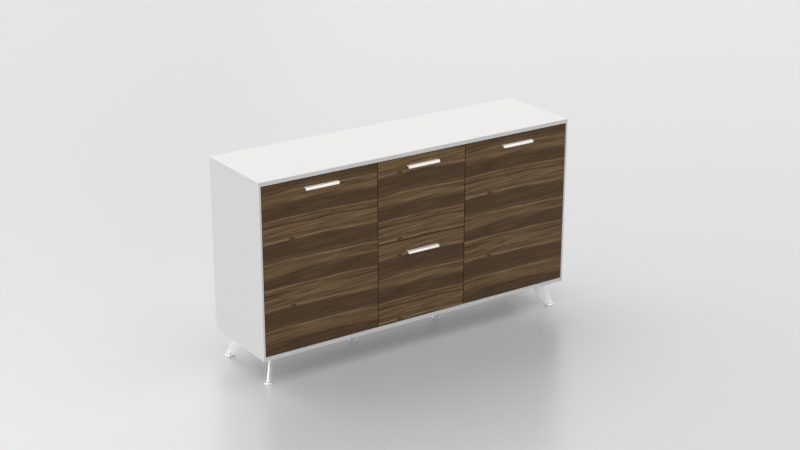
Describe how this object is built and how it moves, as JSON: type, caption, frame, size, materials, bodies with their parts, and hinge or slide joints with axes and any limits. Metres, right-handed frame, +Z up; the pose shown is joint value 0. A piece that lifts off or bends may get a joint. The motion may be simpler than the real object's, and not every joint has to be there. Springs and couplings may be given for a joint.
{
  "type": "office credenza",
  "caption": "Long office storage cabinet on splayed blade legs, with a hinged cupboard door at each side and file drawers between, set flush in a white frame with walnut fronts.",
  "frame": {"origin": "on the floor, under the middle of the whole piece with its pulls", "axes": "+X to the right of someone facing the fronts, +Y to the back, +Z up; the fronts face -Y"},
  "size_m": [1.6, 0.442, 0.915],
  "materials": {
    "white_melamine": "white melamine-faced board, fine satin",
    "walnut": "dark walnut decor with horizontal grain, satin",
    "cast_leg": "polished aluminium casting",
    "glide": "moulded ABS foot with bright chrome plating",
    "handle": "satin anodised extrusion",
    "steel": "zinc-plated pressed steel",
    "drawer_board": "pale grey foil-wrapped board",
    "catch": "moulded white nylon with a magnet inside"
  },
  "bodies": {
    "carcass": {"top_panel": "white_melamine", "bottom_panel": "white_melamine", "left_side_panel": "white_melamine", "right_side_panel": "white_melamine", "back_panel": "white_melamine", "left_partition": "white_melamine", "right_partition": "white_melamine", "left_shelf": "white_melamine", "right_shelf": "white_melamine", "front_left_leg": "cast_leg", "front_right_leg": "cast_leg", "rear_left_leg": "cast_leg", "rear_right_leg": "cast_leg", "left_centre_post": "cast_leg", "left_lower_pivot_socket": "steel", "left_upper_pivot_socket": "steel", "left_door_catch": "catch", "right_centre_post": "cast_leg", "right_lower_pivot_socket": "steel", "right_upper_pivot_socket": "steel", "right_door_catch": "catch", "lower_drawer_left_cabinet_member": "steel", "lower_drawer_right_cabinet_member": "steel", "upper_drawer_left_cabinet_member": "steel", "upper_drawer_right_cabinet_member": "steel"},
    "left_door": {"left_door_panel": "walnut", "left_door_handle": "handle", "left_door_lower_pivot": "steel", "left_door_upper_pivot": "steel"},
    "right_door": {"right_door_panel": "walnut", "right_door_handle": "handle", "right_door_lower_pivot": "steel", "right_door_upper_pivot": "steel"},
    "lower_drawer": {"lower_drawer_front": "walnut", "lower_drawer_handle": "handle", "lower_drawer_bottom": "drawer_board", "lower_drawer_back": "drawer_board", "lower_drawer_left_side": "drawer_board", "lower_drawer_right_side": "drawer_board", "lower_drawer_left_drawer_member": "steel", "lower_drawer_right_drawer_member": "steel"},
    "lower_drawer_runner": {"lower_drawer_left_middle_member": "steel", "lower_drawer_right_middle_member": "steel"},
    "upper_drawer": {"upper_drawer_front": "walnut", "upper_drawer_handle": "handle", "upper_drawer_bottom": "drawer_board", "upper_drawer_back": "drawer_board", "upper_drawer_left_side": "drawer_board", "upper_drawer_right_side": "drawer_board", "upper_drawer_left_drawer_member": "steel", "upper_drawer_right_drawer_member": "steel"},
    "upper_drawer_runner": {"upper_drawer_left_middle_member": "steel", "upper_drawer_right_middle_member": "steel"},
    "front_left_glide": {"front_left_glide": "glide"},
    "front_right_glide": {"front_right_glide": "glide"},
    "rear_left_glide": {"rear_left_glide": "glide"},
    "rear_right_glide": {"rear_right_glide": "glide"},
    "left_centre_glide": {"left_centre_glide": "glide"},
    "right_centre_glide": {"right_centre_glide": "glide"}
  },
  "joints": [
    {"name": "left_door_hinge", "type": "hinge", "parent": "carcass", "child": "left_door", "pos_m": [-0.7765, -0.192, 0.52], "axis": [0, 0, -1], "range_deg": [0, 110]},
    {"name": "right_door_hinge", "type": "hinge", "parent": "carcass", "child": "right_door", "pos_m": [0.7765, -0.192, 0.52], "axis": [0, 0, 1], "range_deg": [0, 110]},
    {"name": "lower_drawer_slide", "type": "slide", "parent": "carcass", "child": "lower_drawer", "axis": [0, -1, 0], "range_m": [0, 0.35]},
    {"name": "lower_drawer_runner_slide", "type": "slide", "parent": "carcass", "child": "lower_drawer_runner", "axis": [0, -1, 0], "range_m": [0, 0.175]},
    {"name": "upper_drawer_slide", "type": "slide", "parent": "carcass", "child": "upper_drawer", "axis": [0, -1, 0], "range_m": [0, 0.35]},
    {"name": "upper_drawer_runner_slide", "type": "slide", "parent": "carcass", "child": "upper_drawer_runner", "axis": [0, -1, 0], "range_m": [0, 0.175]},
    {"name": "front_left_glide_level", "type": "slide", "parent": "carcass", "child": "front_left_glide", "axis": [0, 0, -1], "range_m": [0, 0.01]},
    {"name": "front_right_glide_level", "type": "slide", "parent": "carcass", "child": "front_right_glide", "axis": [0, 0, -1], "range_m": [0, 0.01]},
    {"name": "rear_left_glide_level", "type": "slide", "parent": "carcass", "child": "rear_left_glide", "axis": [0, 0, -1], "range_m": [0, 0.01]},
    {"name": "rear_right_glide_level", "type": "slide", "parent": "carcass", "child": "rear_right_glide", "axis": [0, 0, -1], "range_m": [0, 0.01]},
    {"name": "left_centre_glide_level", "type": "slide", "parent": "carcass", "child": "left_centre_glide", "axis": [0, 0, -1], "range_m": [0, 0.01]},
    {"name": "right_centre_glide_level", "type": "slide", "parent": "carcass", "child": "right_centre_glide", "axis": [0, 0, -1], "range_m": [0, 0.01]}
  ],
  "couplings": [
    {"joint": "lower_drawer_runner_slide", "follows": "lower_drawer_slide", "ratio": 0.5},
    {"joint": "upper_drawer_runner_slide", "follows": "upper_drawer_slide", "ratio": 0.5}
  ]
}
